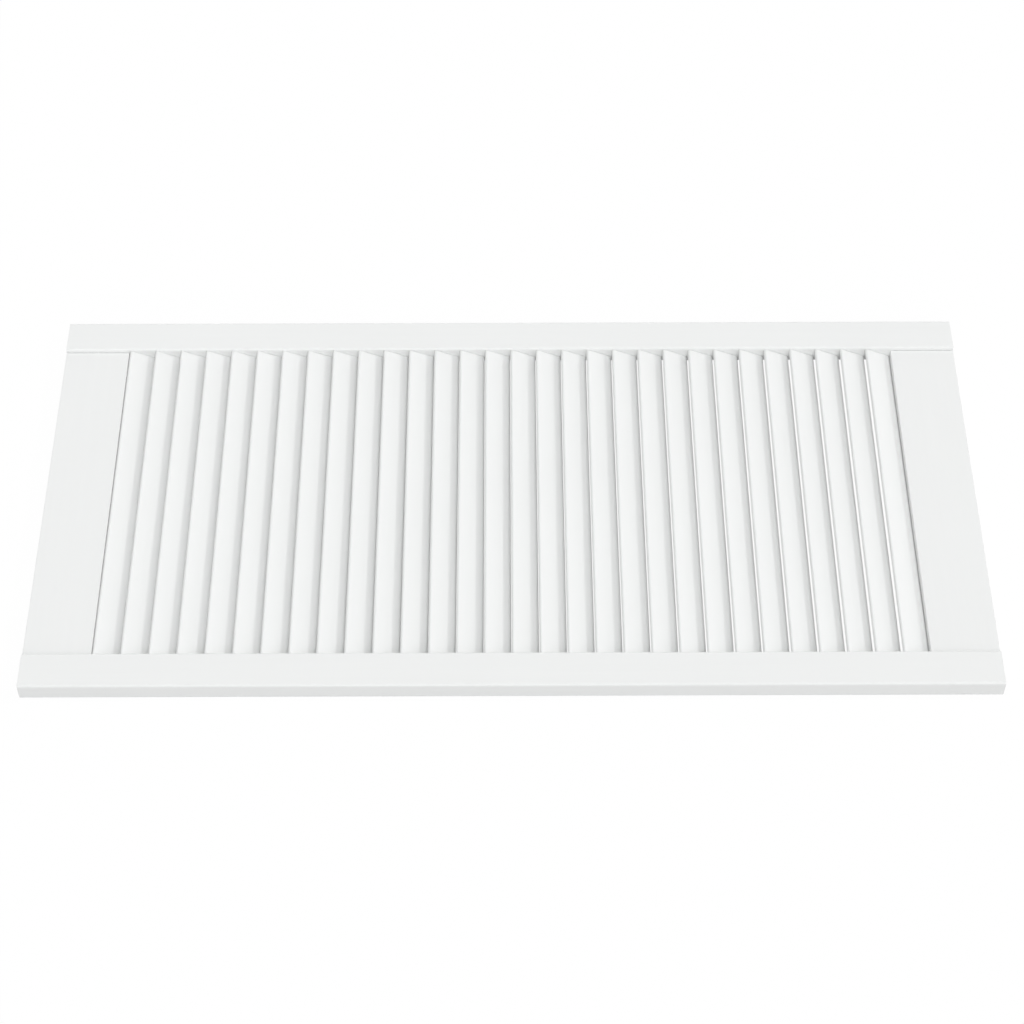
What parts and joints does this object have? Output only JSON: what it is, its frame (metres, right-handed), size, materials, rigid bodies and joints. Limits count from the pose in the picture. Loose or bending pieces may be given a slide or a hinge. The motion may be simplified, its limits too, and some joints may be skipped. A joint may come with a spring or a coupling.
{
  "type": "louvred cabinet door",
  "caption": "Flat rectangular cabinet door of white painted wood: fixed sloping louvre slats housed between stiles and dowelled rails, to air a wardrobe or cupboard.",
  "frame": {"origin": "middle of the back face, with the door lying on that face", "axes": "+X along the door's height, from its foot to its head; +Y across its width; +Z out of its front face"},
  "size_m": [0.993, 0.494, 0.021],
  "materials": {
    "stile_paint": "satin white paint",
    "rail_paint": "satin white paint",
    "slat_paint": "satin white paint",
    "dowel_beech": "bare turned beech"
  },
  "bodies": {
    "root": {"left_stile": "stile_paint", "right_stile": "stile_paint", "bottom_rail": "rail_paint", "top_rail": "rail_paint", "slat_01": "slat_paint", "slat_02": "slat_paint", "slat_03": "slat_paint", "slat_04": "slat_paint", "slat_05": "slat_paint", "slat_06": "slat_paint", "slat_07": "slat_paint", "slat_08": "slat_paint", "slat_09": "slat_paint", "slat_10": "slat_paint", "slat_11": "slat_paint", "slat_12": "slat_paint", "slat_13": "slat_paint", "slat_14": "slat_paint", "slat_15": "slat_paint", "slat_16": "slat_paint", "slat_17": "slat_paint", "slat_18": "slat_paint", "slat_19": "slat_paint", "slat_20": "slat_paint", "slat_21": "slat_paint", "slat_22": "slat_paint", "slat_23": "slat_paint", "slat_24": "slat_paint", "slat_25": "slat_paint", "slat_26": "slat_paint", "slat_27": "slat_paint", "slat_28": "slat_paint", "slat_29": "slat_paint", "slat_30": "slat_paint", "bottom_left_dowel_1": "dowel_beech", "bottom_left_dowel_2": "dowel_beech", "bottom_right_dowel_1": "dowel_beech", "bottom_right_dowel_2": "dowel_beech", "top_left_dowel_1": "dowel_beech", "top_left_dowel_2": "dowel_beech", "top_right_dowel_1": "dowel_beech", "top_right_dowel_2": "dowel_beech"}
  },
  "joints": []
}
